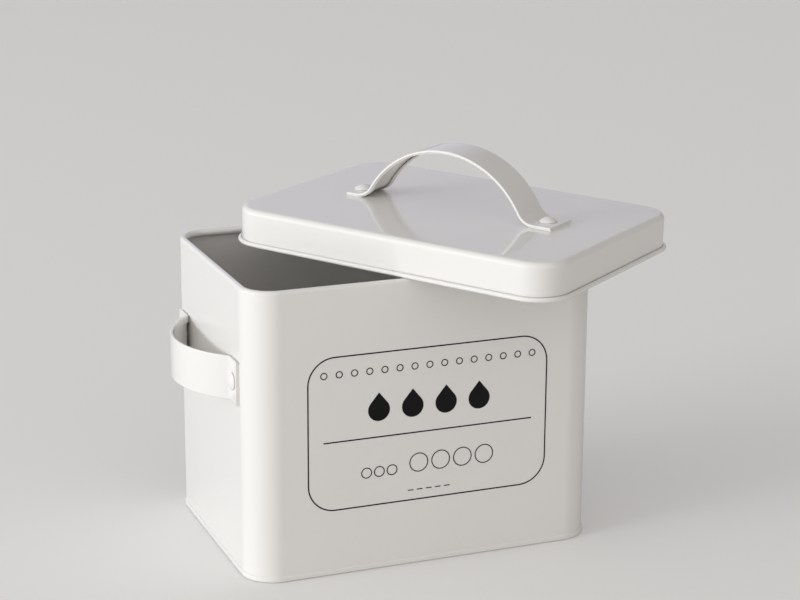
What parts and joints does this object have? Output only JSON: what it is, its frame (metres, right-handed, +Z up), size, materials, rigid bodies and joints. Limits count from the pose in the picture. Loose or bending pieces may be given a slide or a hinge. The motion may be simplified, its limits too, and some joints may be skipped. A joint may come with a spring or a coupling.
{
  "type": "detergent storage box",
  "caption": "Rectangular sheet-steel storage box with rounded corners, bowed strap handles, a printed front panel and a loose lid laid across its open top.",
  "frame": {"origin": "centre of the body's footprint, on the table under the base seam", "axes": "+X to the right along the body's width, +Y from the printed front to the back, +Z up"},
  "size_m": [0.2967, 0.2611, 0.2382],
  "materials": {
    "body_coat": "glossy white powder coat",
    "lid_coat": "glossy white powder coat",
    "strap_coat": "glossy white powder coat",
    "rivet_coat": "glossy white powder coat",
    "print_ink": "satin black ink"
  },
  "bodies": {
    "root": {"body_shell": "body_coat", "base_panel": "body_coat", "lid_shell": "lid_coat", "lid_handle": "strap_coat", "lid_rivet_left": "rivet_coat", "lid_rivet_right": "rivet_coat", "left_handle": "strap_coat", "left_rivet_front": "rivet_coat", "left_rivet_back": "rivet_coat", "right_handle": "strap_coat", "right_rivet_front": "rivet_coat", "right_rivet_back": "rivet_coat", "print_frame": "print_ink", "print_divider": "print_ink", "print_drops": "print_ink", "print_rings": "print_ink", "print_bubbles": "print_ink", "print_dashes": "print_ink"}
  },
  "joints": []
}
